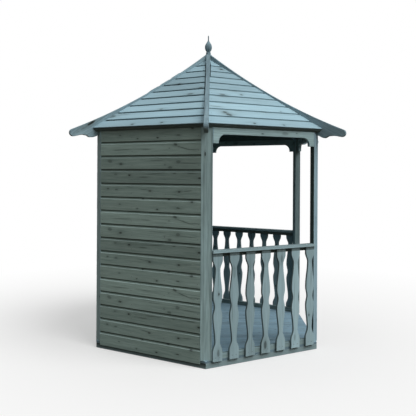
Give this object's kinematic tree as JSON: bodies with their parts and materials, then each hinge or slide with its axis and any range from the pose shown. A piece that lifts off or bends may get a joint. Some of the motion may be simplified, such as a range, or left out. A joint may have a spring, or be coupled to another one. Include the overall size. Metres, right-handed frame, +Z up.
{
  "type": "garden arbor",
  "caption": "Six-sided timber garden arbor with boarded back walls, sawn balustrades, an open front and a boarded hipped roof with a turned finial.",
  "frame": {"origin": "centre of the floor at ground level", "axes": "+Z up, the open front faces -Y"},
  "size_m": [2.952, 2.5764, 3.0874],
  "materials": {
    "floor_timber": "pressure-treated softwood, blue-green, sawn",
    "deck_boards": "pressure-treated softwood boards, blue-grey, slightly worn",
    "frame_timber": "pressure-treated softwood, planed, grey-green",
    "wall_boards": "pressure-treated softwood shiplap, grey-green with dark knots",
    "rail_timber": "pressure-treated softwood, planed, pale blue-green",
    "roof_boards": "pressure-treated softwood boards, pale blue-grey",
    "roof_trim": "pressure-treated softwood, planed, blue-grey"
  },
  "bodies": {
    "root": {"floor_frame": "floor_timber", "floor_deck": "deck_boards", "post_front_right": "frame_timber", "post_right": "frame_timber", "post_back_right": "frame_timber", "post_back_left": "frame_timber", "post_left": "frame_timber", "post_front_left": "frame_timber", "wall_back_right": "wall_boards", "wall_back": "wall_boards", "wall_back_left": "wall_boards", "wall_frame_back_right": "frame_timber", "wall_frame_back": "frame_timber", "wall_frame_back_left": "frame_timber", "header_front_left": "frame_timber", "header_front": "frame_timber", "header_front_right": "frame_timber", "handrail_front_left": "rail_timber", "handrail_front_right": "rail_timber", "top_batten_front_left": "frame_timber", "top_batten_front_right": "frame_timber", "low_batten_front_left": "frame_timber", "low_batten_front_right": "frame_timber", "balusters_front_left": "rail_timber", "balusters_front_right": "rail_timber", "eave_plate_front": "frame_timber", "eave_plate_front_right": "frame_timber", "eave_plate_back_right": "frame_timber", "eave_plate_back": "frame_timber", "eave_plate_back_left": "frame_timber", "eave_plate_front_left": "frame_timber", "roof_front": "roof_boards", "roof_front_right": "roof_boards", "roof_back_right": "roof_boards", "roof_back": "roof_boards", "roof_back_left": "roof_boards", "roof_front_left": "roof_boards", "hip_board_front_right": "roof_trim", "hip_board_right": "roof_trim", "hip_board_back_right": "roof_trim", "hip_board_back_left": "roof_trim", "hip_board_left": "roof_trim", "hip_board_front_left": "roof_trim", "apex_block": "roof_trim", "finial": "roof_trim"}
  },
  "joints": []
}
